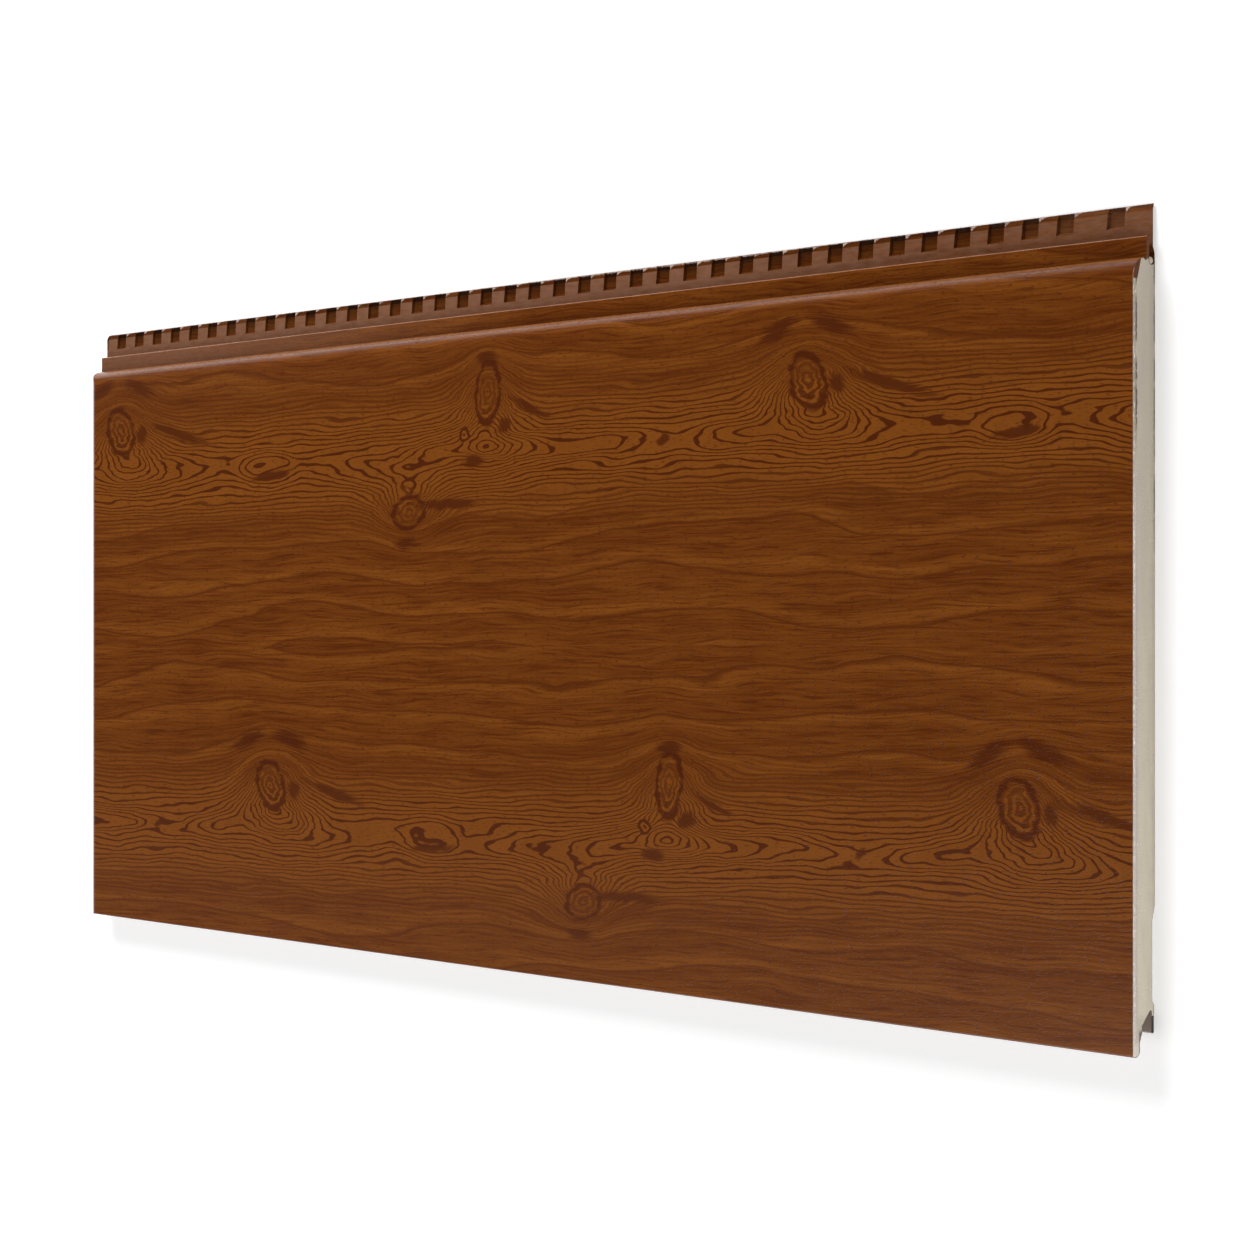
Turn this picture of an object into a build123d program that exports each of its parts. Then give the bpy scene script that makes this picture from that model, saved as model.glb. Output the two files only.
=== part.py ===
from build123d import *
from math import atan2, cos, hypot, radians, sin, tan
import os

# Insulated metal siding panel, lying face up on its back.
# X runs along the length, Y runs up the wall from the bottom edge to the nailing flange,
# and Z points out of the wall. The origin is the centre of the back, on the floor.
# A section point is given as a height above the bottom edge and a depth behind the face.

# Overall
panel_length = 965.0
panel_thickness = 16.0
sheet = 0.3
foil = 0.15

# Face and rounded shoulder
face_height = 380.4
shoulder_rise = 2.7
shoulder_radius = 10.0
crest_radius = 0.9

# Tongue, an open fold of the sheet that stands behind the shoulder
tongue_setback = 2.5
root_drop = 1.5
root_radius = 0.5
tongue_height = 12.0
tongue_thickness = 1.9
tongue_fold_radius = 0.9

# Groove behind the tongue, which takes the lip of the next panel up
groove_depth = 13.6
groove_width = 3.6
groove_radius = 1.6
lip_clearance = 0.2

# Nailing flange behind the groove
flange_height = 29.4
flange_setback = 1.7
joggle_start = 6.0
joggle_run = 2.5
joggle_radius = 1.5
flange_corner_radius = 3.0

# Crimps pressed into the top of the flange, counted from the near end
crimp_height = 10.4
crimp_width = 11.4
crimp_recess = 1.35
crimp_pitch = 23.4
first_crimp = 56.4
end_crimp = 23.5
crimp_end_margin = 12.0
edge_strip_height = 3.0
edge_strip_setback = 0.7
crimp_slant = 1.0
crimp_lean = 1.2

# Bottom edge: front leg with a bead, flared slot and folded rear lip
leg_thickness = 5.4
leg_front_radius = 1.0
bead_radius = 3.2
waist_height = 6.6
waist_cut = 0.5
waist_radius = 4.0
slot_flare = 1.4
flare_height = 11.6
flare_radius = 3.0
slot_height = 14.6
slot_corner_radius = 0.8
roof_rise = 8.0
roof_radius = 0.6
lip_setback = 0.8
lip_thickness = 1.8
lip_fold_radius = 0.85
lip_bottom_height = 10.6
lip_end_height = 24.4
lip_foam_height = 19.0

# Back, stepped in above the lip to clear the flange and screws of the panel below
back_recess = 1.9
recess_height = 65.0
recess_slope = 7.0
recess_start = 1.6
recess_start_radius = 0.6
back_gap = 0.2
foil_bend_radius = 3.0
foil_rise = 5.0
foil_taper = 4.5

# Far end, where the cutter rolled the face back
roll_radius = 11.0
roll_angle = 45.0

# Depths, measured in from the back
recess_depth = panel_thickness - back_recess
flange_depth = panel_thickness - flange_setback
lip_back_depth = panel_thickness - lip_setback
lip_front_depth = lip_back_depth - lip_thickness
groove_back_depth = lip_back_depth + lip_clearance
tongue_back_depth = groove_back_depth - groove_width
tongue_front_depth = tongue_back_depth - tongue_thickness
crest_depth = tongue_front_depth - tongue_setback

# Heights, measured up from the face
crest_height = face_height + shoulder_rise
root_height = crest_height - root_drop
tongue_top_height = root_height + tongue_height
groove_height = tongue_top_height - groove_depth
overall_width = groove_height + flange_height
strip_height = overall_width - edge_strip_height
crimp_foot_height = overall_width - crimp_height

# The shoulder bend ends where the crest bend starts
shoulder_turn = atan2(crest_depth, shoulder_rise)
shoulder_room = (hypot(crest_depth, shoulder_rise) - crest_radius) / tan(shoulder_turn / 2)
shoulder_bend = min(shoulder_radius, shoulder_room)

far_end = -panel_length / 2
near_end = panel_length / 2

# The painted side of the sheet, bend by bend: height, depth, bend radius
top_bends = [
    (overall_width, flange_depth + edge_strip_setback, 0),
    (strip_height, flange_depth, joggle_radius),
    (groove_height + joggle_start + joggle_run, flange_depth, joggle_radius),
    (groove_height + joggle_start, groove_back_depth, joggle_radius),
    (groove_height, groove_back_depth, groove_radius),
    (groove_height, tongue_back_depth, groove_radius),
    (tongue_top_height, tongue_back_depth, tongue_fold_radius),
    (tongue_top_height, tongue_front_depth, tongue_fold_radius),
    (root_height, tongue_front_depth, root_radius),
]
face_bends = [
    (crest_height, crest_depth, crest_radius),
    (face_height, 0, shoulder_bend),
    (0, 0, leg_front_radius),
    (0, leg_thickness, bead_radius),
    (waist_height, leg_thickness - waist_cut, waist_radius),
]
slot_bends = [
    (flare_height, leg_thickness + slot_flare, flare_radius),
    (slot_height, leg_thickness + slot_flare, slot_corner_radius),
    (slot_height + roof_rise, lip_front_depth, roof_radius),
]
lip_bends = [
    (lip_bottom_height, lip_front_depth, lip_fold_radius),
    (lip_bottom_height, lip_back_depth, lip_fold_radius),
    (lip_end_height, lip_back_depth, 0),
]
painted_bends = top_bends + face_bends + slot_bends + lip_bends

# The outer side of the foil, from the lip up to the groove
foil_bends = [
    (lip_end_height + back_gap, lip_back_depth - foil, 0),
    (lip_end_height + recess_start, recess_depth, recess_start_radius),
    (recess_height, recess_depth, foil_bend_radius),
    (recess_height + recess_slope, panel_thickness, foil_bend_radius),
    (groove_height + foil_rise - foil_taper, panel_thickness, foil_bend_radius),
    (groove_height + foil_rise, groove_back_depth + sheet + foil, 0),
]


def at(height, depth):
    """Place a section point in the Y and Z of the panel."""
    return (height - overall_width / 2, panel_thickness - depth)


def direction(start, end):
    run = hypot(end[0] - start[0], end[1] - start[1])
    return ((end[0] - start[0]) / run, (end[1] - start[1]) / run)


def parallel_bends(bends, distance):
    """The same bends on the other side of a layer of this thickness."""
    ways = [direction(a, b) for a, b in zip(bends, bends[1:])]
    ways = [ways[0]] + ways + [ways[-1]]
    moved = []
    for (height, depth, radius), before, after in zip(bends, ways, ways[1:]):
        turn = before[0] * after[1] - before[1] * after[0]
        share = distance / (1 + before[0] * after[0] + before[1] * after[1])
        height += share * (before[1] + after[1])
        depth -= share * (before[0] + after[0])
        if radius:
            radius += distance if turn > 0 else -distance
        moved.append((height, depth, radius))
    return moved


def bent_line(bends):
    """A line through the bends, rounded at every one but the two ends."""
    points = [at(height, depth) for height, depth, radius in bends]
    return FilletPolyline(*points, radius=[radius for height, depth, radius in bends[1:-1]])


def along(section):
    """Run a section the whole length of the panel."""
    return extrude(Plane.YZ.offset(far_end) * section, panel_length)


def layer(bends, thickness):
    """A bent layer of this thickness, the whole length of the panel."""
    outer = bent_line(bends)
    inner = bent_line(parallel_bends(bends, thickness))
    ends = Line(outer @ 0, inner @ 0) + Line(outer @ 1, inner @ 1)
    return along(make_face(outer + inner + ends))


def below_roll(depth):
    """Everything behind the rolled face, this deep below its painted side."""
    radius = roll_radius - depth
    start = far_end + roll_radius * sin(radians(roll_angle))
    centre = panel_thickness - roll_radius
    top = panel_thickness - depth
    low = (start - radius * sin(radians(roll_angle)), centre + radius * cos(radians(roll_angle)))
    middle = (start - radius * sin(radians(roll_angle / 2)), centre + radius * cos(radians(roll_angle / 2)))
    beyond = 2 * roll_radius
    arc = ThreePointArc((start, top), middle, low)
    edge = Polyline(
        low,
        (far_end - beyond, low[1]),
        (far_end - beyond, -beyond),
        (near_end + beyond, -beyond),
        (near_end + beyond, top),
        (start, top),
    )
    return extrude(Plane.XZ * make_face(arc + edge), overall_width, both=True)


def rolled_face():
    """The face, the shoulder and the leg where the cutter rolled them back."""
    front = bent_line([top_bends[-1]] + face_bends + [slot_bends[0]])
    body = along(make_face(front + Line(front @ 0, front @ 1)))
    length = roll_radius * sin(radians(roll_angle))
    room = Pos(far_end + length / 2, 0, 0) * Box(length, 2 * overall_width, 4 * panel_thickness)
    return body & room & (below_roll(0) - below_roll(sheet))


def crimp(grow):
    """One crimp, from its hollow (grow 0) out to its walls' far side (grow one sheet)."""
    foot = crimp_foot_height - grow
    floor = flange_depth + crimp_recess + grow
    outline = [
        (foot, flange_depth),
        (strip_height, flange_depth),
        (overall_width, flange_depth + edge_strip_setback),
        (overall_width, flange_depth + edge_strip_setback + grow),
        (strip_height, floor),
        (foot + crimp_slant, floor),
    ]
    points = [at(height, depth) for height, depth in outline]
    if not grow:
        points.pop(3)
    bar = extrude(Plane.YZ * make_face(Polyline(*points, close=True)), 2 * crimp_width, both=True)
    corner_y, corner_z = at(crimp_foot_height, flange_depth)
    reach = crimp_width / 2 + grow
    lean = crimp_lean / crimp_height
    slant = crimp_slant / crimp_recess
    left = Plane(origin=(-reach, corner_y, corner_z), z_dir=(1, -lean, slant))
    right = Plane(origin=(reach, corner_y, corner_z), z_dir=(1, -lean / 2, 0))
    bar = split(bar, bisect_by=left, keep=Keep.TOP)
    return split(bar, bisect_by=right, keep=Keep.BOTTOM)


def crimp_places():
    """Where the crimps sit along the flange."""
    count = int((panel_length - first_crimp - crimp_end_margin) / crimp_pitch) + 1
    from_near_end = [end_crimp] + [first_crimp + number * crimp_pitch for number in range(count)]
    return [Pos(near_end - distance, 0, 0) for distance in from_near_end]


def corner_waste():
    """What is snipped off the flange's far top corner."""
    size = flange_corner_radius
    waste = Rectangle(2 * size, 2 * size) - Pos(size, -size) * Circle(size)
    return extrude(Pos(far_end, overall_width / 2) * waste, panel_thickness)


def facing_sheet():
    """One roll-formed sheet: flange, groove, tongue, face, leg, slot and lip."""
    straight = layer(painted_bends, sheet) & below_roll(0)
    hollow = crimp(0)
    walls = crimp(sheet) - hollow
    places = crimp_places()
    pressed = straight - [place * hollow for place in places] - corner_waste()
    return pressed + [place * walls for place in places] + rolled_face()


def foam_core():
    """Foam that fills the sheet from the lip to the flange."""
    behind = parallel_bends(painted_bends, sheet)
    inside = parallel_bends(foil_bends, foil)
    groove = painted_bends.index(top_bends[4])
    lip = painted_bends.index(lip_bends[0])
    front = [inside[-1]] + behind[groove:lip] + [(lip_foam_height, behind[lip][1], 0)]
    lip_line = Polyline(
        at(lip_foam_height, behind[lip][1]),
        at(lip_foam_height, behind[-1][1]),
        at(lip_end_height, behind[-1][1]),
        at(inside[0][0], inside[0][1]),
    )
    return along(make_face(bent_line(front) + lip_line + bent_line(inside))) & below_roll(sheet)


def backing_foil():
    """Thin foil over the back of the foam."""
    return layer(foil_bends, foil)


os.makedirs("parts", exist_ok=True)
export_step(facing_sheet(), "parts/facing_sheet.step")
export_step(foam_core(), "parts/foam_core.step")
export_step(backing_foil(), "parts/backing_foil.step")
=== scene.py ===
"""Dress the metal siding panel: printed sheet, torn edge, sawn foam, foil, floor, light and camera."""

import math
import random

import bmesh
import bpy
from bpy.props import FloatProperty, FloatVectorProperty, IntProperty, PointerProperty
from mathutils import Matrix, Vector


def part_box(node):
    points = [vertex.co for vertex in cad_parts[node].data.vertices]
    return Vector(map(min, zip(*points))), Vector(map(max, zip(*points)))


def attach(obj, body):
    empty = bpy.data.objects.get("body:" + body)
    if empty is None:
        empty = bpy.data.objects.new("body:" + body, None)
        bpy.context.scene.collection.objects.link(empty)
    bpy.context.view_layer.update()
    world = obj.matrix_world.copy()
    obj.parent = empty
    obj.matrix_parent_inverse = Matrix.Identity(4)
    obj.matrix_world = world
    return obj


bl_info = {
    "name": "Metal siding panel",
    "version": (1, 0, 0),
    "blender": (4, 5, 0),
    "location": "3D View > Sidebar > Siding",
    "description": "Finishes a wood-print metal siding panel with its foam, foil, floor and light",
    "category": "Object",
}

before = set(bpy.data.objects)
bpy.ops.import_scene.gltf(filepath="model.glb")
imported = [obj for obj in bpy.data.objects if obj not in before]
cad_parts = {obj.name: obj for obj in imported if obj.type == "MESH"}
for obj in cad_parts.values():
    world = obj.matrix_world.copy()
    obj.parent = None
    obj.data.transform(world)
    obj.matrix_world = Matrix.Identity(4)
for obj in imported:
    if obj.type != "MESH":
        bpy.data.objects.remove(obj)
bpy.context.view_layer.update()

MM = 0.001
LOW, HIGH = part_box("facing_sheet")
NEAR_END = HIGH.x
PANEL_WIDTH = (HIGH.y - LOW.y) / MM
PANEL_LENGTH = (HIGH.x - LOW.x) / MM

# Places on the section, in millimetres up from the bottom edge and behind the face
SHOULDER_FOOT = 372.0
SHOULDER_TOP = 380.0
CREST = 383.1
TONGUE_TOP = 393.6
TONGUE_FRONT = 9.9
TONGUE_BACK = 11.8
GROOVE_FLOOR = 380.0
GROOVE_MIDDLE = 13.6
FLANGE_FOOT = 388.5
FLANGE_DEPTH = 14.3
LEG_TOP = 14.0
LIP_TOP = 24.6
LIP_FRONT = 13.4
LIP_BACK = 15.2
SHEET = 0.3

# Crimps of the flange, counted from the near end
CRIMP_PITCH = 23.4
FIRST_CRIMP = 56.4
END_CRIMP = 23.5
CRIMP_HALF = 5.7
CRIMP_HEIGHT = 10.4
CRIMP_RECESS = 1.35
CRIMP_LEAN = 1.2
CRIMP_FOOT = PANEL_WIDTH - CRIMP_HEIGHT
STRIP_HEIGHT = 3.0
STRIP_FOOT = PANEL_WIDTH - STRIP_HEIGHT
STRIP_SETBACK = 0.7


class StageSettings(bpy.types.PropertyGroup):
    floor_size: FloatProperty(
        name="Floor size", description="Side of the square floor", default=40.0, unit="LENGTH")
    floor_color: FloatVectorProperty(
        name="Floor colour", description="Colour of the floor", default=(0.8, 0.8, 0.8), subtype="COLOR")
    lens: FloatProperty(
        name="Lens", description="Focal length of the camera in millimetres", default=92.0)
    light_level: FloatProperty(
        name="Light level", description="How strong all the lamps are, 1 as set up", default=1.0, min=0.0)


class PrintSettings(bpy.types.PropertyGroup):
    pale_wood: FloatVectorProperty(
        name="Pale wood", description="Palest colour of the wood print",
        default=(0.254, 0.0755, 0.0095), subtype="COLOR")
    deep_wood: FloatVectorProperty(
        name="Deep wood", description="Colour of the print between its pale streaks",
        default=(0.137, 0.0315, 0.0035), subtype="COLOR")
    grain: FloatVectorProperty(
        name="Grain", description="Colour of the dark grain lines",
        default=(0.078, 0.0145, 0.003), subtype="COLOR")
    # Colour of the painted sheen that greys the flange, the tongue and the face
    dull_and_sheen: FloatVectorProperty(
        name="Painted sheen", description="Colour of the flange where the rollers dulled it",
        default=(0.262, 0.127, 0.074), subtype="COLOR")
    zinc: FloatVectorProperty(
        name="Zinc", description="Colour of the bare zinc at cut edges",
        default=(0.42, 0.37, 0.32), subtype="COLOR")
    primer: FloatVectorProperty(
        name="Primer", description="Colour of the sheet's reverse side",
        default=(0.27, 0.25, 0.225), subtype="COLOR")
    roughness: FloatProperty(
        name="Roughness", description="Roughness of the clear coat", default=0.2, min=0.0, max=1.0)
    emboss: FloatProperty(
        name="Emboss depth", description="Depth of the pressed-in pores", default=0.00008, unit="LENGTH")


class FoamSettings(bpy.types.PropertyGroup):
    foam: FloatVectorProperty(
        name="Foam", description="Colour of the sawn foam",
        default=(0.69, 0.615, 0.49), subtype="COLOR")
    # Foam colour towards the top: darker, a painted shade
    upper_foam: FloatVectorProperty(
        name="Upper foam", description="Colour of the foam towards the tongue",
        default=(0.59, 0.515, 0.42), subtype="COLOR")
    pore_size: FloatProperty(
        name="Pore size", description="Size of the foam's open cells", default=0.0006, unit="LENGTH")


class FoilSettings(bpy.types.PropertyGroup):
    foil: FloatVectorProperty(
        name="Foil", description="Colour of the backing foil",
        default=(0.62, 0.61, 0.59), subtype="COLOR")
    wrinkle: FloatProperty(
        name="Wrinkle depth", description="Depth of the foil's wrinkles", default=0.0003, unit="LENGTH")


class EdgeSettings(bpy.types.PropertyGroup):
    chip_length: FloatProperty(
        name="Chip length", description="Length of the torn chip beside each crimp",
        default=0.006, unit="LENGTH")
    chip_height: FloatProperty(
        name="Chip height", description="Height of the torn chip beside each crimp",
        default=0.0029, unit="LENGTH")
    seed: IntProperty(
        name="Seed", description="Changes the shapes of the chips", default=7)


def plug(tree, value, slot):
    """Set a socket to a number or a colour, or link it to a field."""
    if isinstance(value, Field):
        tree.links.new(value.socket, slot)
    elif hasattr(value, "__len__") and len(value) == 3 and len(slot.default_value) == 4:
        slot.default_value = (*value, 1)
    else:
        slot.default_value = value


class Field:
    """A number or a colour at every point of a surface, worked out by shader nodes."""

    def __init__(self, tree, socket):
        self.tree = tree
        self.socket = socket

    def math(self, operation, *others, clamp=False):
        node = self.tree.nodes.new("ShaderNodeMath")
        node.operation = operation
        node.use_clamp = clamp
        for slot, value in zip(node.inputs, (self, *others)):
            plug(self.tree, value, slot)
        return Field(self.tree, node.outputs[0])

    def __add__(self, other):
        return self.math("ADD", other)

    def __radd__(self, other):
        return self.math("ADD", other)

    def __sub__(self, other):
        return self.math("SUBTRACT", other)

    def __rsub__(self, other):
        return (self * -1).math("ADD", other)

    def __mul__(self, other):
        return self.math("MULTIPLY", other)

    def __truediv__(self, other):
        return self.math("DIVIDE", other)

    def __pow__(self, other):
        return self.math("POWER", other)

    def absolute(self):
        return self.math("ABSOLUTE")

    def fraction(self):
        return self.math("FRACT")

    def clamped(self):
        """Held between 0 and 1."""
        return self.math("ADD", 0, clamp=True)

    def at_least(self, other):
        return self.math("MAXIMUM", other)

    def at_most(self, other):
        return self.math("MINIMUM", other)

    def below(self, other):
        return self.math("LESS_THAN", other)

    def wrapped(self, low, high):
        """The same number, moved by whole spans until it lies between low and high."""
        return self.math("WRAP", high, low)

    def ramp(self, zero, one):
        """0 where this is zero or beyond, 1 where it is one or beyond, smooth between."""
        node = self.tree.nodes.new("ShaderNodeMapRange")
        node.interpolation_type = "SMOOTHSTEP"
        for slot, value in zip(node.inputs, (self, zero, one)):
            plug(self.tree, value, slot)
        return Field(self.tree, node.outputs[0])

    def band(self, low, high, soft):
        """1 between low and high, 0 outside, with edges this soft."""
        return self.ramp(low - soft, low + soft) * self.ramp(high + soft, high - soft)

    def blend(self, other, share):
        """This where share is 0, the other where it is 1."""
        node = self.tree.nodes.new("ShaderNodeMix")
        for slot, value in zip((node.inputs[0], node.inputs[2], node.inputs[3]), (share, self, other)):
            plug(self.tree, value, slot)
        return Field(self.tree, node.outputs[0])


def combine(tree, x, y, z=0.0):
    node = tree.nodes.new("ShaderNodeCombineXYZ")
    for slot, value in zip(node.inputs, (x, y, z)):
        plug(tree, value, slot)
    return Field(tree, node.outputs[0])


# Brings noise, which stays near its middle, to about -1 to 1
NOISE_GAIN = 4.0
PATTERN_STEP = 31.7


def noise_node(tree, point, detail, roughness, dimensions):
    node = tree.nodes.new("ShaderNodeTexNoise")
    node.noise_dimensions = dimensions
    node.inputs["Scale"].default_value = 1.0
    node.inputs["Detail"].default_value = detail
    node.inputs["Roughness"].default_value = roughness
    plug(tree, point, node.inputs["Vector"])
    return node


def noise(tree, x, y, z=0.0, detail=1.0, roughness=0.5):
    """Smooth noise, mostly between -1 and 1. A plain number for z only picks another pattern."""
    flat = not isinstance(z, Field)
    point = combine(tree, x + z * PATTERN_STEP, y) if flat else combine(tree, x, y, z)
    node = noise_node(tree, point, detail, roughness, "2D" if flat else "3D")
    return (Field(tree, node.outputs["Fac"]) - 0.5) * NOISE_GAIN


def vector_math(tree, operation, *values):
    node = tree.nodes.new("ShaderNodeVectorMath")
    node.operation = operation
    for slot, value in zip(node.inputs, values):
        plug(tree, value, slot)
    return Field(tree, node.outputs["Value" if operation in ("DOT_PRODUCT", "LENGTH") else "Vector"])


def warped(tree, point, reach, x, y):
    """A point moved about by smooth noise, by up to this reach along each axis."""
    node = noise_node(tree, combine(tree, x, y), 1.0, 0.5, "2D")
    centred = vector_math(tree, "SUBTRACT", Field(tree, node.outputs["Color"]), (0.5, 0.5, 0.5))
    return vector_math(tree, "MULTIPLY_ADD", centred, [NOISE_GAIN * value for value in reach], point)


def split(tree, point):
    node = tree.nodes.new("ShaderNodeSeparateXYZ")
    plug(tree, point, node.inputs[0])
    return [Field(tree, socket) for socket in node.outputs]


def from_oval(tree, point, oval):
    """A point (along, across, 1) seen from the middle of an oval, where 1 is its edge."""
    middle_along, middle_across, half_length, half_width, turn = oval
    cosine, sine = math.cos(math.radians(turn)), math.sin(math.radians(turn))
    parts = []
    for x, y in ((cosine / half_length, sine / half_length), (-sine / half_width, cosine / half_width)):
        row = (x, y, -middle_along * x - middle_across * y)
        parts.append(vector_math(tree, "DOT_PRODUCT", point, row))
    return combine(tree, *parts)


def oval_distance(tree, point, oval):
    """How far a point is from the middle of an oval, where 1 is its edge."""
    return vector_math(tree, "LENGTH", from_oval(tree, point, oval))


def mix_color(tree, share, first, second):
    node = tree.nodes.new("ShaderNodeMix")
    node.data_type = "RGBA"
    for slot, value in zip((node.inputs[0], node.inputs[6], node.inputs[7]), (share, first, second)):
        plug(tree, value, slot)
    return Field(tree, node.outputs[2])


class Place:
    """Where a point of the panel lies, in millimetres, and which way its surface faces."""

    def __init__(self, tree):
        node = tree.nodes.new("ShaderNodeTexCoord")
        x, y, z = split(tree, Field(tree, node.outputs["Object"]))
        self.from_near_end = (NEAR_END - x) / MM
        self.height = (y - LOW.y) / MM
        self.depth = (HIGH.z - z) / MM
        self.facing_end, self.facing_up, self.facing_out = split(tree, Field(tree, node.outputs["Normal"]))


def new_material(name):
    """A material with its node tree and its shader."""
    material = bpy.data.materials.new(name)
    material.use_nodes = True
    return material, material.node_tree, material.node_tree.nodes["Principled BSDF"]


def add_bump(tree, shader, height, depth, strength=1.0):
    bump = tree.nodes.new("ShaderNodeBump")
    bump.inputs["Strength"].default_value = strength
    bump.inputs["Distance"].default_value = depth
    plug(tree, height, bump.inputs["Height"])
    tree.links.new(bump.outputs[0], shader.inputs["Normal"])


def dress(node_name, material):
    """Give a carried-over piece its material."""
    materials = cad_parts[node_name].data.materials
    materials.clear()
    materials.append(material)


# The print repeats along the panel. Its places are in millimetres: along from a big knot
# towards the near end, and across from the line that its flames follow.
PRINT_REPEAT = 584.0
PRINT_START = -96.0
KNOT_START = 802.8
ROW_DROP = 230.0
ROW_SHIFT = 145.0
ROW_HEIGHT = 308.0
LENGTH_STRETCH = 1.634e-4
HEIGHT_STRETCH = 1.152e-4
HEIGHT_SCALE = 0.948

RING_SLOPE = 0.36
FLAME_HALF_WIDTH = 10.0
# Swells of the rings: along, across, half length, half width, turn, rings, steepness
SWELLS = (
    (0, 34, 32, 24, 0, 5.5, 2),
    (3, 27, 17, 22, 0, 7.5, 1.3),
    (20, 7, 36, 16, -20, 4.6, 1.5),
    (-24, 16, 26, 13, 30, 1.2, 2),
    (143, -2, 26, 13, -4, 2.1, 4),
    (232, -6, 34, 12, -6, 2.2, 2),
    (270, -30, 17, 16, 0, 7.5, 1.4),
    (268, -30, 34, 24, 0, 5, 2),
    (337, 36, 24, 26, 0, 6.5, 2),
    (337, 34, 14, 24, 0, 5, 1.3),
    (336, 4, 26, 12, 0, 4.8, 1.5),
    (296, 2, 30, 13, 10, 3.5, 2),
    (402, 3, 58, 9, 0, 2.2, 4),
    (372, 3, 26, 8, 0, 1.3, 2),
    (-56, 2, 26, 8, 6, 1.3, 3),
)
# Knots: along, across, half length, half width, turn, rings
KNOTS = (
    (1, 29, 11, 15, 28, 2.7),
    (270, -33, 13, 9, 10, 2.6),
    (337, 36, 9, 17, -5, 2.8),
    (318, 12, 4, 4, 0, 1),
)
# Dark patches: along, across, half length, half width, turn, paleness
PATCHES = (
    (145, -6, 19, 3, 4, 0),
    (325, -4, 9, 4, 0, 0),
    (478, 2, 6, 3, 30, 0),
    (303, -29, 28, 3.4, 0, 0),
    (58, 25, 38, 4.5, -15, 0.2),
    (-20, 57, 22, 8, 22, 0.3),
    (18, 58, 26, 8, -18, 0.3),
    (22, 26, 7, 6, -60, 0.1),
    (337, 57, 12, 6, 0, 0.2),
    (350, 16, 8, 5, 20, 0.1),
    (370, 26, 26, 4, -24, 0.35),
    (268, -52, 16, 6, 0, 0.35),
)


def add_rings(tree, point, from_flame, away, length, rise):
    """The count of rings from the flame line out to a point, like a contour height."""
    rings = ((from_flame ** 2 + FLAME_HALF_WIDTH ** 2) ** 0.5 - FLAME_HALF_WIDTH) * -RING_SLOPE
    for *oval, count, steepness in SWELLS:
        place = from_oval(tree, point, oval)
        fall = vector_math(tree, "DOT_PRODUCT", place, place) ** (steepness / 2)
        rings = (fall * -1).math("EXPONENT").math("MULTIPLY_ADD", count, rings)
    rings = rings + noise(tree, length / 70, rise / 16, 1.0) * 0.7
    return rings + noise(tree, length / 26, rise / 7, 5.0) * (0.26 - away * 0.2)


def grain_lines(tree, point, from_flame, rings, streak, length, rise):
    """How dark the grain is at a point, from 0 to 1: rings, knots and patches."""
    wobble = noise(tree, length / 14, rise / 3.5, 13.0)
    width = (from_flame * 0.004 + 0.25).at_most(0.4) + wobble * 0.07
    rim = None
    for *oval, count in KNOTS:
        distance = oval_distance(tree, point, oval)
        inside = distance.below(1.0)
        rings = rings.blend((1 - distance) * count + wobble * 0.22 + 0.5, inside)
        width = width.blend(0.6, inside)
        edge = 1.35 - (distance - 1.05).absolute() / 0.17 + wobble * 0.5
        rim = edge if rim is None else rim.at_least(edge)
    soft = (from_flame * 0.004 + 0.10).at_most(0.3)
    ridge = ((rings.fraction() - 0.5).absolute() * 2 - width) / soft
    line = (0.5 - ridge).clamped() * (1.25 - from_flame / 50 + streak * 0.25).at_least(0.12).at_most(1)
    patch = None
    for *oval, paleness in PATCHES:
        distance = oval_distance(tree, point, oval) + paleness
        patch = distance if patch is None else patch.at_most(distance)
    patch = (patch + streak * 0.35).ramp(1.25, 0.6) * 0.9
    return line.at_least(rim.clamped()).at_least(patch)


def plain_grain(tree, rings, streak, broad, length, rise):
    """The plain grain between the rows: how pale it is, and how dark its seams and dashes are."""
    sway = noise(tree, length / 210, rise / 90, 31.0, detail=1.0) * 0.42
    sheaf = (rings / 8 + sway).fraction()
    seam = sheaf.ramp(0.10, 0.0) * (streak * 0.4 + broad * 0.3 + 0.75).clamped()
    glow = sheaf.ramp(0.03, 0.12) * sheaf.ramp(0.5, 0.15)
    dashes = streak.ramp(-0.1, -0.8)
    return streak * 0.36 + broad * 0.26 + glow * 0.36 + 0.27, seam.at_least(dashes * 0.7)


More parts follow.
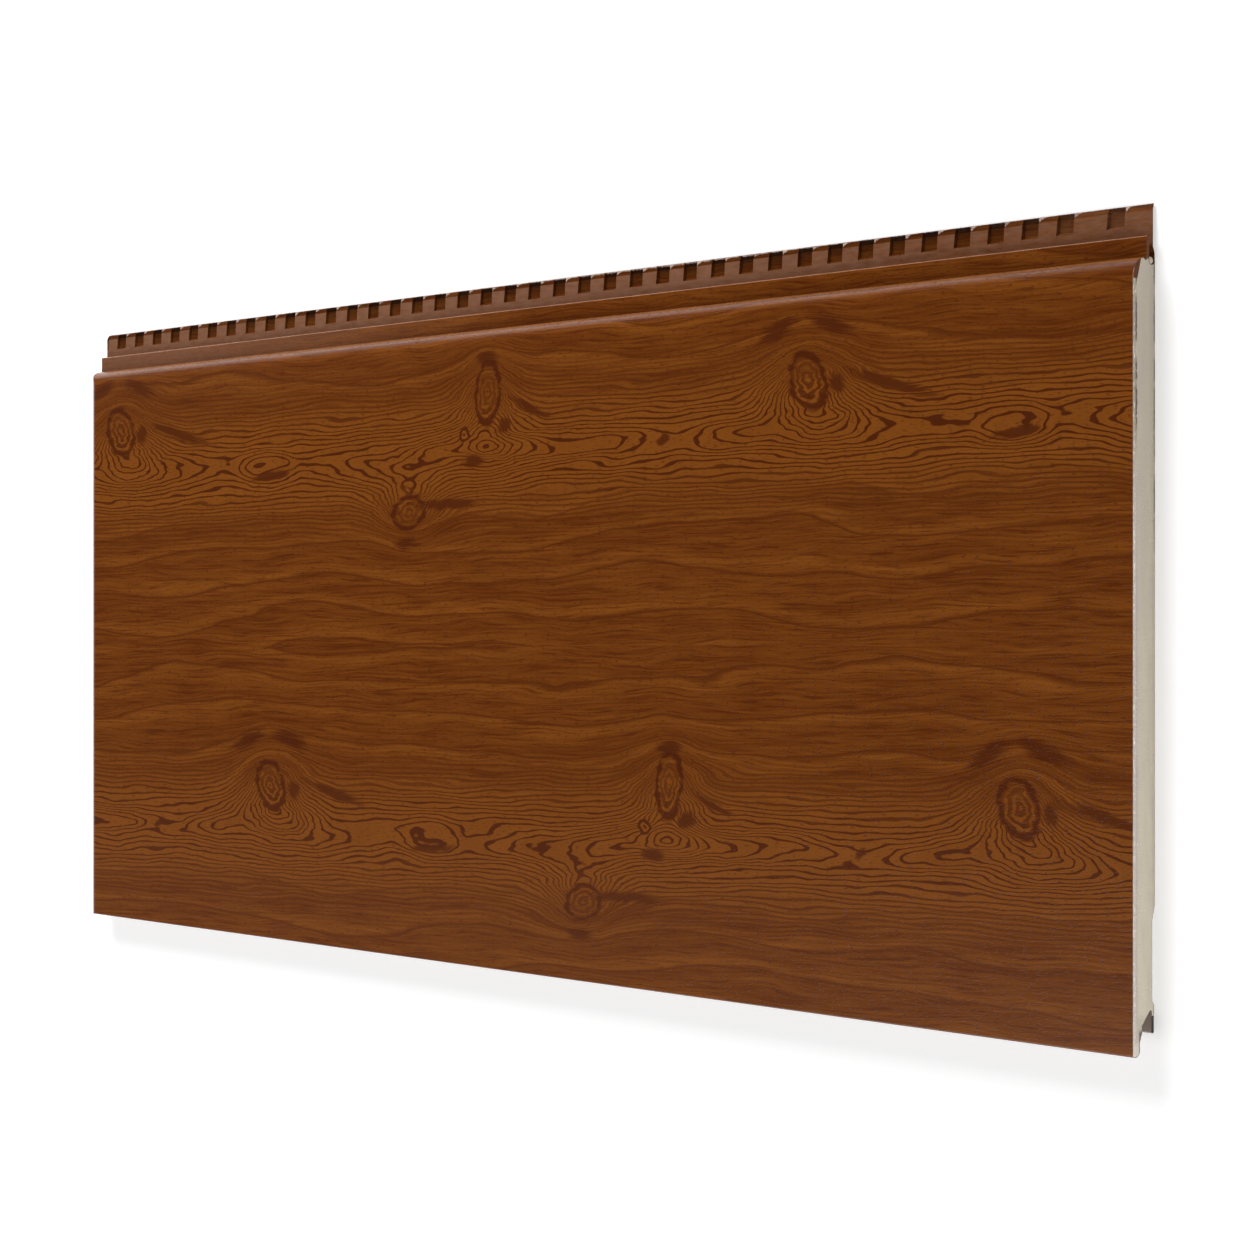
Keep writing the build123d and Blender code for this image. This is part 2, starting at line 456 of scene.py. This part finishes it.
def print_color(tree, settings, from_near_end, height):
    """The wood print at a place on the sheet, and the pores pressed into it."""
    length = from_near_end / (1 + from_near_end * LENGTH_STRETCH)
    rise = (height - ROW_HEIGHT) / (HEIGHT_SCALE + from_near_end * HEIGHT_STRETCH)
    lower = rise.below(-ROW_DROP / 2)
    across = rise + lower * ROW_DROP
    along = (KNOT_START - lower * ROW_SHIFT - length).wrapped(PRINT_START, PRINT_START + PRINT_REPEAT)
    point = warped(tree, combine(tree, along, across, 1.0), (1.3, 0.6, 0), length / 14, rise / 6)
    from_flame = (across - 1).absolute()
    away = from_flame.ramp(16, 46)
    rings = add_rings(tree, point, from_flame, away, length, rise)
    streak = noise(tree, length / 30, rings * 2.3, rise * 0.02, detail=2.0, roughness=0.6)
    line = grain_lines(tree, point, from_flame, rings, streak, length, rise)

    broad = noise(tree, length / 90, rings * 0.5, rise * 0.02 + 7, detail=2.0)
    plain, seams = plain_grain(tree, rings, streak, broad, length, rise)
    flame = streak * 0.10 + broad * 0.12 + 0.82
    color = mix_color(tree, flame.blend(plain, away).clamped(), settings.deep_wood, settings.pale_wood)
    line = line.at_least(seams * away * 0.75)
    color = mix_color(tree, line * 0.92, color, settings.grain)
    pores = noise(tree, length / 4.5, rise / 0.9, 3.0).ramp(0.45, 0.9)
    return mix_color(tree, pores * 0.45, color, settings.grain), pores


def crimp_place(place):
    """How far a point lies from the middle of its crimp, towards the near end."""
    row = (FIRST_CRIMP - place.from_near_end).wrapped(-CRIMP_PITCH / 2, CRIMP_PITCH / 2)
    end = END_CRIMP - place.from_near_end
    return row.blend(end, place.from_near_end.below(FIRST_CRIMP - CRIMP_PITCH / 2))


def in_crimp(place, across):
    """1 inside a crimp, 0 on the tabs between."""
    climb = (place.height - CRIMP_FOOT) / CRIMP_HEIGHT
    left = (across + CRIMP_HALF - climb * CRIMP_LEAN).ramp(-0.15, 0.15)
    right = (CRIMP_HALF + climb * (CRIMP_LEAN / 2) - across).ramp(-0.15, 0.15)
    return left * right * climb.ramp(-0.01, 0.01)


def reverse_side(place, across):
    """1 on the primed back of the sheet, 0 on its printed side."""
    flange = place.height.ramp(FLANGE_FOOT - 0.5, FLANGE_FOOT)
    back = place.facing_out.ramp(-0.2, -0.4)
    wall = (place.facing_end * across).ramp(1.0, 2.0)
    ledge = place.facing_up.ramp(-0.4, -0.6)
    behind = place.depth.ramp(FLANGE_DEPTH - 0.1, FLANGE_DEPTH)
    fold = place.height.below(LIP_TOP) * place.depth.band(LIP_FRONT + SHEET, LIP_BACK - SHEET, 0.1)
    return (flange * behind * back.at_least(wall).at_least(ledge)).at_least(fold)


# Colours of the sheet: painted shade in the crimps, painted highlights on the bends, painted light and
# shadow on the rear lip, and the cut edges
# Painted shade: near-black colour for the crimps' pockets and the top strip
CRIMP_SHADE = (0.012, 0.004, 0.002)
# Painted highlights on the shoulder's crest and on the tongue's fold
CREST_HIGHLIGHT = (0.42, 0.19, 0.075)
FOLD_HIGHLIGHT = (0.5, 0.25, 0.15)
# Painted light on the rear lip, and painted shadow along its back
LIP_LIGHT = (0.62, 0.55, 0.47)
LIP_SHADOW = (0.03, 0.02, 0.014)
CUT_STEEL = (0.05, 0.032, 0.024)


def flange_dull_and_sheen(place, crimp, strip, flange, front, wear_and_sheen):
    """How much the flange's paint is dulled, and how much painted sheen greys it: most on the flange, less
    towards the open end.
    """
    fresh = place.from_near_end.ramp(20, 110)
    sheen_strength = wear_and_sheen * 0.22 + place.from_near_end.ramp(120, 330) * 0.24 + 0.52
    outside_crimp = 1 - crimp * (fresh * 0.65 + 0.35)
    outside_strip = 1 - strip * (fresh * 0.4 + 0.6)
    return flange * front * outside_crimp * outside_strip * sheen_strength


def tongue_sheen(place, front, wear_and_sheen):
    """How much painted sheen greys the front of the tongue, towards the far end."""
    tongue = place.height.band(CREST, TONGUE_TOP, 0.3) * front
    tongue = tongue * place.depth.band(TONGUE_FRONT - 1.4, TONGUE_FRONT + 1.1, 0.5)
    return tongue * place.from_near_end.ramp(430, 900) * (wear_and_sheen * 0.1 + 0.65)


def face_sheen(place):
    """How much painted sheen greys the face: along the bottom, and under the shoulder towards the far end.
    """
    top_sheen = place.height.ramp(330, 383) * place.from_near_end.ramp(300, 900)
    return place.height.ramp(150, 0) * 0.10 + top_sheen * 0.05


def crimp_painted_shade(place, crimp, strip, flange):
    """How much painted shade darkens the crimps and the top strip, less towards the open end."""
    shade = place.height.ramp(CRIMP_FOOT, PANEL_WIDTH - 1) * 0.45 + 0.3
    shaded_part = (crimp * shade).at_least(strip * (crimp * 0.45 + 0.45))
    return flange * shaded_part * (place.from_near_end.ramp(20, 110) * 0.35 + 0.65)


def bend_highlights(tree, place, wear_and_sheen, color):
    """Painted highlights: lighter colour on the crest of the shoulder and on the tongue's fold."""
    crest = place.height.band(CREST - 1.6, CREST + 0.2, 0.3) * place.depth.band(3.5, 8, 0.6)
    color = mix_color(tree, crest * (wear_and_sheen * 0.08 + 0.35), color, CREST_HIGHLIGHT)
    fold = place.height.ramp(TONGUE_TOP - 0.7, TONGUE_TOP - 0.2) * place.depth.below(TONGUE_BACK + 0.7)
    return mix_color(tree, fold * (wear_and_sheen * 0.2 + 0.65).clamped(), color, FOLD_HIGHLIGHT)


def lip_light_and_shadow(tree, place, color):
    """A pale painted light on the front of the rear lip, which sits in shade, and a painted shadow line
    along its back.
    """
    below = place.height.below(LIP_TOP)
    front = below * place.depth.ramp(LIP_FRONT - 0.6, LIP_FRONT - 0.2) * 0.88
    color = mix_color(tree, front, color, LIP_LIGHT)
    back = below * place.depth.ramp(LIP_BACK - 0.5, LIP_BACK - 0.2) * 0.85
    return mix_color(tree, back, color, LIP_SHADOW)


class SIDING_OT_sheet(bpy.types.Operator):
    """Print and lacquer the sheet, roughen its flange, paint sheen, shade and highlights on it, and bare its
    cut edges
    """
    bl_idname = "siding.sheet"
    bl_label = "Printed sheet"

    def execute(self, context):
        settings = context.scene.siding_print
        material, tree, shader = new_material("printed_steel")
        place = Place(tree)
        height, depth = place.height, place.depth
        unrolled = height + depth * height.ramp(SHOULDER_FOOT, SHOULDER_TOP) - depth * height.ramp(4, 0)
        color, pores = print_color(tree, settings, place.from_near_end, unrolled)

        across = crimp_place(place)
        crimp = in_crimp(place, across)
        front = place.facing_out.ramp(0.3, 0.6)
        wear_and_sheen = noise(tree, place.from_near_end / 9, height / 2.5, 41.0, detail=3.0)
        strip = height.ramp(STRIP_FOOT - 0.4, STRIP_FOOT + 0.4)
        flange = height.ramp(FLANGE_FOOT, FLANGE_FOOT + 2) * depth.ramp(FLANGE_DEPTH - 1, FLANGE_DEPTH - 0.5)
        dull_and_sheen = flange_dull_and_sheen(place, crimp, strip, flange, front, wear_and_sheen)
        # Painted sheen: a greyer colour on the flange, the tongue's front and the face
        sheen_cover = dull_and_sheen.at_least(tongue_sheen(place, front, wear_and_sheen)).at_least(face_sheen(place))
        color = mix_color(tree, sheen_cover.clamped(), color, settings.dull_and_sheen)
        # Painted shade darkens the crimps and the top strip
        color = mix_color(tree, crimp_painted_shade(place, crimp, strip, flange), color, CRIMP_SHADE)
        # Painted highlights on the crest and the fold
        color = bend_highlights(tree, place, wear_and_sheen, color)
        # Painted light and painted shadow on the rear lip
        color = lip_light_and_shadow(tree, place, color)

        primed = reverse_side(place, across)
        color = mix_color(tree, primed, color, settings.primer)
        cut = place.facing_end.absolute().ramp(0.6, 0.8) * place.from_near_end.below(0.05)
        zinc = depth.below(1) * height.below(CREST)
        color = mix_color(tree, cut, color, mix_color(tree, zinc, CUT_STEEL, settings.zinc))

        plug(tree, color, shader.inputs["Base Color"])
        matte = dull_and_sheen.at_least(primed).at_least(cut)
        plug(tree, matte * 0.3 + wear_and_sheen * 0.03 + settings.roughness, shader.inputs["Roughness"])
        shader.inputs["Specular IOR Level"].default_value = 0.25
        add_bump(tree, shader, pores * -1, settings.emboss, 0.5)
        dress("facing_sheet", material)
        return {"FINISHED"}


# Colours of the sawn foam where it differs from the plain one
WEATHERED = (0.42, 0.40, 0.36)
LILAC = (0.47, 0.42, 0.42)
FRESH_BURR = (0.66, 0.60, 0.54)
STAINED_BURR = (0.36, 0.32, 0.24)
CHIP = (0.84, 0.79, 0.71)
BEAD = (0.78, 0.74, 0.66)
HOLLOW_LEG = (0.40, 0.36, 0.29)
BEAD_OUTLINE = (0.10, 0.078, 0.06)
SPALL = (0.88, 0.85, 0.79)
FOLDED_PRINT = (0.15, 0.045, 0.012)
# Painted shade in the crack between the sheet and the foam
CRACK_SHADE = (0.075, 0.06, 0.045)
REAR_FOAM = (0.55, 0.45, 0.37)
# The foil's dark edge along the back, with painted shade
REAR_EDGE_SHADE = (0.12, 0.095, 0.07)
TONGUE_FOAM = (0.175, 0.062, 0.026)
# Painted shade inside the foam's open cells
CELL_SHADE = (0.2, 0.17, 0.13)
# Painted highlight: the warm pale colour of the lit bottom of the groove
GROOVE_HIGHLIGHT = (0.62, 0.40, 0.27)


def burred_front(tree, place, cloud, chips, color):
    """The strip behind the face, where the saw left a lilac band, a burr and bright chips."""
    height, depth = place.height, place.depth
    lilac = depth.ramp(4.2, 2.6) * height.ramp(300, 250) * (cloud * 0.3 + 0.6).clamped()
    color = mix_color(tree, lilac, color, LILAC)
    burr = (depth + chips * 0.35).ramp(2.3, 1.9)
    stained = mix_color(tree, height.ramp(250, 320), FRESH_BURR, STAINED_BURR)
    color = mix_color(tree, burr * (cloud * 0.25 + 0.55).clamped(), color, stained)
    return mix_color(tree, (chips - 0.22 - depth * 0.24).ramp(0, 0.2), color, CHIP)


def leg_foam(tree, place, chips, color):
    """The pale bead at the bottom, the greyer leg above it and the dark outline behind them."""
    height, depth = place.height, place.depth
    color = mix_color(tree, height.ramp(8, 5) * 0.5, color, BEAD)
    leg = height.band(8, LEG_TOP + 5, 2) * depth.ramp(2.6, 3.8)
    color = mix_color(tree, leg * 0.35, color, HOLLOW_LEG)
    outline = (depth + chips * 0.1).ramp(4.1, 4.8) * height.ramp(LEG_TOP, LEG_TOP - 3)
    return mix_color(tree, outline * 0.8, color, BEAD_OUTLINE)


def foam_damage(tree, place, chips, color):
    """Spalls along the front, the sheet folded over the top corner, the crack's painted shade, and the back
    with the foil's dark edge and painted shade.
    """
    height, depth = place.height, place.depth
    spall = noise(tree, height / 7, depth / 1.6, 17.0, detail=1.0).ramp(0.7, 0.95)
    color = mix_color(tree, spall * depth.ramp(2.0, 1.3), color, SPALL)
    fold_foot = 372.3
    fold_reach = (height - fold_foot) * 0.27 + 3.25
    folded = height.ramp(fold_foot, fold_foot + 0.6) * (depth - fold_reach).ramp(0.15, -0.15)
    color = mix_color(tree, folded, color, FOLDED_PRINT)
    broken = noise(tree, height / 14, 0.0, 9.0, detail=2.0).ramp(-0.7, 0.1)
    # Painted shade: a dark line where the foam is cracked behind the sheet
    crack = (depth + chips * 0.25).band(1.9, 3.0, 0.25) * height.ramp(285, 310) * broken
    color = mix_color(tree, crack * 0.85, color, CRACK_SHADE)
    rear = depth.ramp(13.4, 14.6) * height.ramp(40, 60)
    color = mix_color(tree, rear * 0.4, color, REAR_FOAM)
    # The foil's edge along the back, darkened with painted shade
    rear_edge_shade = (depth + chips * 0.2).ramp(14.9, 15.4) * height.ramp(230, 260) * broken
    return mix_color(tree, rear_edge_shade * 0.8, color, REAR_EDGE_SHADE)


class SIDING_OT_foam(bpy.types.Operator):
    """Colour the sawn foam"""
    bl_idname = "siding.foam"
    bl_label = "Foam core"

    def execute(self, context):
        settings = context.scene.siding_foam
        material, tree, shader = new_material("sawn_foam")
        place = Place(tree)
        height, depth = place.height, place.depth
        cell = settings.pore_size / MM
        pores = noise(tree, height / cell, depth / cell, place.from_near_end / cell, detail=2.0)
        cloud = noise(tree, height / 26, depth / 5, place.from_near_end / 9, detail=3.0)
        chips = noise(tree, height / 2.2, depth / 0.9, 3.0, detail=1.0)

        # The foam darker towards the top: painted shade
        color = mix_color(tree, height.ramp(60, 385), settings.foam, settings.upper_foam)
        color = mix_color(tree, (cloud * 0.16 + 0.16).clamped(), color, WEATHERED)
        color = burred_front(tree, place, cloud, chips, color)
        color = leg_foam(tree, place, chips, color)
        color = foam_damage(tree, place, chips, color)
        tongue = height.ramp(CREST - 1.5, CREST) * depth.ramp(TONGUE_FRONT - 0.6, TONGUE_FRONT - 0.1)
        color = mix_color(tree, tongue, color, TONGUE_FOAM)
        # Painted shade darkens the open cells
        color = mix_color(tree, pores.ramp(0.9, 1.5) * 0.35, color, CELL_SHADE)

        plug(tree, color, shader.inputs["Base Color"])
        shader.inputs["Roughness"].default_value = 0.95
        shader.inputs["Specular IOR Level"].default_value = 0.15
        add_bump(tree, shader, pores + chips * 0.5, 0.2 * MM, 0.6)
        dress("foam_core", material)
        return {"FINISHED"}


def add_piece(name, mesh, material):
    """Turn mesh data into a piece that rides on the panel and takes its finish from this slot."""
    data = bpy.data.meshes.new(name)
    mesh.to_mesh(data)
    mesh.free()
    data.materials.append(material)
    piece = bpy.data.objects.new(name, data)
    bpy.context.scene.collection.objects.link(piece)
    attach(piece, "root")
    return piece


# Finish of the pale lump in the groove: a painted highlight
def groove_highlight_finish(settings):
    material, tree, shader = new_material("groove_highlight_finish")
    place = Place(tree)
    tint_noise = noise(tree, place.height / 0.7, place.depth / 0.7, 3.0, detail=2.0)
    color = mix_color(tree, (tint_noise * 0.3 + 0.3).clamped(), settings.upper_foam, GROOVE_HIGHLIGHT)
    plug(tree, color, shader.inputs["Base Color"])
    shader.inputs["Roughness"].default_value = 0.9
    return material


class SIDING_OT_groove_highlight_lump(bpy.types.Operator):
    """Build a pale lump in the groove at the near end: a painted highlight of the groove's bottom"""
    bl_idname = "siding.foam_smear"
    bl_label = "Groove highlight lump"

    def execute(self, context):
        half_length, half_height, half_width = 1.6, 1.9, 1.85
        blunt_ends = 0.35
        middle = (
            NEAR_END - (half_length + 0.05) * MM,
            LOW.y + (GROOVE_FLOOR + half_height) * MM,
            HIGH.z - GROOVE_MIDDLE * MM,
        )
        size = (half_length * MM, half_height * MM, half_width * MM, 1)
        shape = Matrix.Translation(middle) @ Matrix.Diagonal(size)
        mesh = bmesh.new()
        bmesh.ops.create_icosphere(mesh, subdivisions=5, radius=1.0)
        for vertex in mesh.verts:
            x, y, z = vertex.co
            lump = 0.95 + 0.05 * math.sin(6 * y) * math.cos(4 * z + 1)
            x = math.copysign(abs(x) ** blunt_ends, x)
            vertex.co = shape @ (Vector((x, y, z)) * lump)
        material = groove_highlight_finish(context.scene.siding_foam)
        groove_lump = add_piece("foam_smear", mesh, material)
        groove_lump.data.shade_smooth()
        return {"FINISHED"}


FOIL_SMUDGE = (0.44, 0.43, 0.41)
FOIL_EDGE = (0.11, 0.095, 0.08)


class SIDING_OT_foil(bpy.types.Operator):
    """Give the backing foil its dull, wrinkled skin"""
    bl_idname = "siding.foil"
    bl_label = "Backing foil"

    def execute(self, context):
        settings = context.scene.siding_foil
        material, tree, shader = new_material("backing_foil")
        place = Place(tree)
        wrinkles = noise(tree, place.from_near_end / 34, place.height / 19, place.depth / 9, detail=4.0)
        creases = noise(tree, place.from_near_end / 7, place.height / 11, 5.0, detail=2.0).absolute()
        smudge = noise(tree, place.from_near_end / 70, place.height / 50, 8.0, detail=3.0)
        color = mix_color(tree, (smudge * 0.3 + 0.25).clamped(), settings.foil, FOIL_SMUDGE)
        end = place.facing_end.absolute().ramp(0.6, 0.8)
        color = mix_color(tree, end, color, FOIL_EDGE)
        plug(tree, color, shader.inputs["Base Color"])
        plug(tree, smudge * 0.06 + 0.42, shader.inputs["Roughness"])
        plug(tree, (1 - end) * 0.75, shader.inputs["Metallic"])
        add_bump(tree, shader, wrinkles - creases.ramp(0.12, 0.0) * 0.3, settings.wrinkle, 0.6)
        dress("backing_foil", material)
        return {"FINISHED"}


# The torn edge: how far apart its cross-sections stand, and how far it stays off the sheet
TEAR_STEP = 0.55
TEAR_START = 0.3
TEAR_END = 8.0
TEAR_CLEAR = 0.03
MOST_WORN_AT = 360.0
WORN_SPREAD = 130.0
TORN_ZINC = (0.62, 0.48, 0.42)
TEAR_DIRT = (0.16, 0.09, 0.06)


def strip_depth(height, in_pocket):
    """How far behind the face the flange's top strip lies, at this height."""
    share = (height - STRIP_FOOT) / STRIP_HEIGHT
    foot = FLANGE_DEPTH + (CRIMP_RECESS if in_pocket else 0.0)
    return foot + (FLANGE_DEPTH + STRIP_SETBACK - foot) * share


def from_crimp(from_near_end):
    """How far a place along the edge lies from the middle of its crimp."""
    half = CRIMP_PITCH / 2
    if from_near_end < FIRST_CRIMP - half:
        return END_CRIMP - from_near_end
    return (FIRST_CRIMP - from_near_end + half) % CRIMP_PITCH - half


def torn_height(settings, from_near_end, draw):
    """How far the bare zinc reaches down from the top edge here, and whether a crimp is here."""
    across = from_crimp(from_near_end)
    past = (across - CRIMP_HALF - CRIMP_LEAN / 2) * MM
    worn = math.exp(-((from_near_end - MOST_WORN_AT) / WORN_SPREAD) ** 2)
    reach = 0.18 + 0.25 * draw.random() + worn * draw.uniform(0.1, 0.9)
    if 0 <= past < settings.chip_length:
        chip = settings.chip_height / MM * (1 - past / settings.chip_length) ** 1.6
        reach = max(reach, chip * draw.uniform(0.6, 1.1))
    elif 0 > past > -settings.chip_length / 2:
        reach = max(reach, worn * draw.uniform(0.3, 0.8))
    return reach, abs(across) < CRIMP_HALF


def tear_section(settings, from_near_end, draw):
    """One cross-section of the torn edge, round its outer and inner side."""
    reach, in_pocket = torn_height(settings, from_near_end, draw)
    lift = TEAR_CLEAR + 0.12 * draw.random()
    outer = []
    for share, raise_by in ((0.0, 0.0), (0.5, lift), (1.0, TEAR_CLEAR)):
        height = PANEL_WIDTH - reach * share
        depth = strip_depth(height, in_pocket) - raise_by - TEAR_CLEAR
        outer.append((NEAR_END - from_near_end * MM, LOW.y + height * MM, HIGH.z - depth * MM))
    return outer + [(x, y, z - 2 * TEAR_CLEAR * MM) for x, y, z in reversed(outer)]


def torn_zinc():
    material, tree, shader = new_material("torn_zinc")
    place = Place(tree)
    tint_noise = noise(tree, place.from_near_end / 1.3, place.height / 0.8, 2.0, detail=2.0)
    worn = noise(tree, place.from_near_end / 11, 0.0, 4.0, detail=1.0)
    dirt = (tint_noise * 0.5 + worn * 0.3 + 0.35).clamped()
    plug(tree, mix_color(tree, dirt, TORN_ZINC, TEAR_DIRT), shader.inputs["Base Color"])
    shader.inputs["Roughness"].default_value = 0.6
    return material


class SIDING_OT_torn_edge(bpy.types.Operator):
    """Build the torn zinc along the flange's top edge"""
    bl_idname = "siding.torn_edge"
    bl_label = "Torn edge"

    def execute(self, context):
        settings = context.scene.siding_edge
        draw = random.Random(settings.seed)
        mesh = bmesh.new()
        previous = None
        for number in range(int((PANEL_LENGTH - TEAR_END) / TEAR_STEP)):
            section = tear_section(settings, TEAR_START + number * TEAR_STEP, draw)
            ring = [mesh.verts.new(point) for point in section]
            if previous is None:
                mesh.faces.new(reversed(ring))
            else:
                for index in range(len(ring)):
                    after = (index + 1) % len(ring)
                    mesh.faces.new((previous[index], previous[after], ring[after], ring[index]))
            previous = ring
        mesh.faces.new(previous)
        bmesh.ops.recalc_face_normals(mesh, faces=mesh.faces)
        add_piece("torn_edge", mesh, torn_zinc())
        return {"FINISHED"}


# The floor's glow near the panel and what is added further off, which only the eye and the gloss
# see, and the light that the room gives from everywhere
NEAR_GLOW = 0.5
FAR_GLOW = 0.5
ROOM_LIGHT = 0.03


def floor_material(settings):
    material = bpy.data.materials.new("pale_floor")
    material.use_nodes = True
    tree = material.node_tree
    tree.nodes.clear()
    output = tree.nodes.new("ShaderNodeOutputMaterial")
    diffuse = tree.nodes.new("ShaderNodeBsdfDiffuse")
    diffuse.inputs["Color"].default_value = (*settings.floor_color, 1)
    glow = tree.nodes.new("ShaderNodeEmission")
    path = tree.nodes.new("ShaderNodeLightPath")
    seen = Field(tree, path.outputs["Is Camera Ray"]).at_least(Field(tree, path.outputs["Is Glossy Ray"]))
    seen = seen.at_least(Field(tree, path.outputs["Is Transmission Ray"]))
    coordinates = Field(tree, tree.nodes.new("ShaderNodeTexCoord").outputs["Object"])
    far = vector_math(tree, "LENGTH", coordinates).ramp(0.9, 2.5)
    plug(tree, seen * (far * FAR_GLOW + NEAR_GLOW), glow.inputs["Strength"])
    both = tree.nodes.new("ShaderNodeAddShader")
    tree.links.new(diffuse.outputs[0], both.inputs[0])
    tree.links.new(glow.outputs[0], both.inputs[1])
    tree.links.new(both.outputs[0], output.inputs["Surface"])
    return material


def light_walls(tree):
    """White all round to the eye and to the gloss, under a dark ceiling that only the gloss shows."""
    path = tree.nodes.new("ShaderNodeLightPath")
    direction = Field(tree, tree.nodes.new("ShaderNodeTexCoord").outputs["Generated"])
    wall = split(tree, direction)[2].ramp(0.28, 0.1)
    glossy = Field(tree, path.outputs["Is Glossy Ray"])
    glossy = glossy.at_least(Field(tree, path.outputs["Is Transmission Ray"]))
    seen = Field(tree, path.outputs["Is Camera Ray"]).at_least(glossy * wall)
    plug(tree, seen.at_least(ROOM_LIGHT), tree.nodes["Background"].inputs["Strength"])


# The camera: where it stands, how it is turned about the panel's width, and how far the picture's
# middle lies below its axis, as a share of the picture's side
CAMERA_PLACE = Vector((1.4969, 0.0078, 1.1863))
CAMERA_COSINE = 0.6442
CAMERA_SINE = 0.7647
PICTURE_SIDE = 1254
PICTURE_DROP = 14


def add_camera(lens):
    camera_data = bpy.data.cameras.new("camera")
    camera_data.lens = lens
    camera_data.sensor_width = 36.0
    camera_data.shift_y = -PICTURE_DROP / PICTURE_SIDE
    camera_data.clip_end = 50.0
    camera = bpy.data.objects.new("camera", camera_data)
    right = Vector((CAMERA_COSINE, 0, -CAMERA_SINE))
    up = Vector((0, 1, 0))
    back = Vector((CAMERA_SINE, 0, CAMERA_COSINE))
    turn = Matrix((right, up, back)).transposed().to_4x4()
    camera.matrix_world = Matrix.Translation(CAMERA_PLACE) @ turn
    bpy.context.scene.collection.objects.link(camera)
    bpy.context.scene.camera = camera


# Lamps: name, place, side, power, whether it shows in the gloss
LAMPS = (
    ("top_window", (-0.6, 2.2, 1.1), 1.6, 75.0, False),
    ("lower_window", (-0.8, -1.6, 1.5), 1.9, 31.0, True),
    ("end_fill", (2.0, -0.7, 0.35), 0.9, 23.0, False),
)


def add_lamps(level):
    for name, place, side, power, glossy in LAMPS:
        light = bpy.data.lights.new(name, "AREA")
        light.size = side
        light.energy = power * level
        lamp = bpy.data.objects.new(name, light)
        lamp.location = place
        lamp.rotation_euler = Vector(place).to_track_quat("Z", "Y").to_euler()
        lamp.visible_glossy = glossy
        bpy.context.scene.collection.objects.link(lamp)


class SIDING_OT_stage(bpy.types.Operator):
    """Build the floor, the light and the camera"""
    bl_idname = "siding.stage"
    bl_label = "Floor, light and camera"

    def execute(self, context):
        settings = context.scene.siding_stage
        half = settings.floor_size / 2
        mesh = bpy.data.meshes.new("floor")
        corners = [(-half, -half, 0), (half, -half, 0), (half, half, 0), (-half, half, 0)]
        mesh.from_pydata(corners, [], [(0, 1, 2, 3)])
        floor = bpy.data.objects.new("floor", mesh)
        floor.data.materials.append(floor_material(settings))
        context.scene.collection.objects.link(floor)
        world = bpy.data.worlds.new("pale_room")
        world.use_nodes = True
        world.node_tree.nodes["Background"].inputs["Color"].default_value = (1, 1, 1, 1)
        light_walls(world.node_tree)
        context.scene.world = world
        add_lamps(settings.light_level)
        add_camera(settings.lens)
        context.scene.view_settings.view_transform = "Standard"
        return {"FINISHED"}


SETTINGS = {
    "siding_print": PrintSettings,
    "siding_edge": EdgeSettings,
    "siding_foam": FoamSettings,
    "siding_foil": FoilSettings,
    "siding_stage": StageSettings,
}
OPERATORS = (
    SIDING_OT_sheet,
    SIDING_OT_torn_edge,
    SIDING_OT_foam,
    SIDING_OT_groove_highlight_lump,
    SIDING_OT_foil,
    SIDING_OT_stage,
)


class SIDING_PT_finish(bpy.types.Panel):
    """Lists the settings and the steps of the siding panel's finish"""
    bl_idname = "SIDING_PT_finish"
    bl_label = "Siding panel"
    bl_space_type = "VIEW_3D"
    bl_region_type = "UI"
    bl_category = "Siding"

    def draw(self, context):
        for name, group in SETTINGS.items():
            box = self.layout.box()
            for setting in group.__annotations__:
                box.prop(getattr(context.scene, name), setting)
        for operator in OPERATORS:
            self.layout.operator(operator.bl_idname)


CLASSES = (*SETTINGS.values(), *OPERATORS, SIDING_PT_finish)


def register():
    for cls in CLASSES:
        bpy.utils.register_class(cls)
    for name, group in SETTINGS.items():
        setattr(bpy.types.Scene, name, PointerProperty(type=group))


def unregister():
    for name in SETTINGS:
        delattr(bpy.types.Scene, name)
    for cls in reversed(CLASSES):
        bpy.utils.unregister_class(cls)


def main():
    register()
    bpy.ops.siding.stage()
    bpy.ops.siding.sheet()
    bpy.ops.siding.torn_edge()
    bpy.ops.siding.foam()
    # A pale lump in the groove, as a painted highlight
    bpy.ops.siding.foam_smear()
    bpy.ops.siding.foil()


if __name__ == "__main__":
    main()
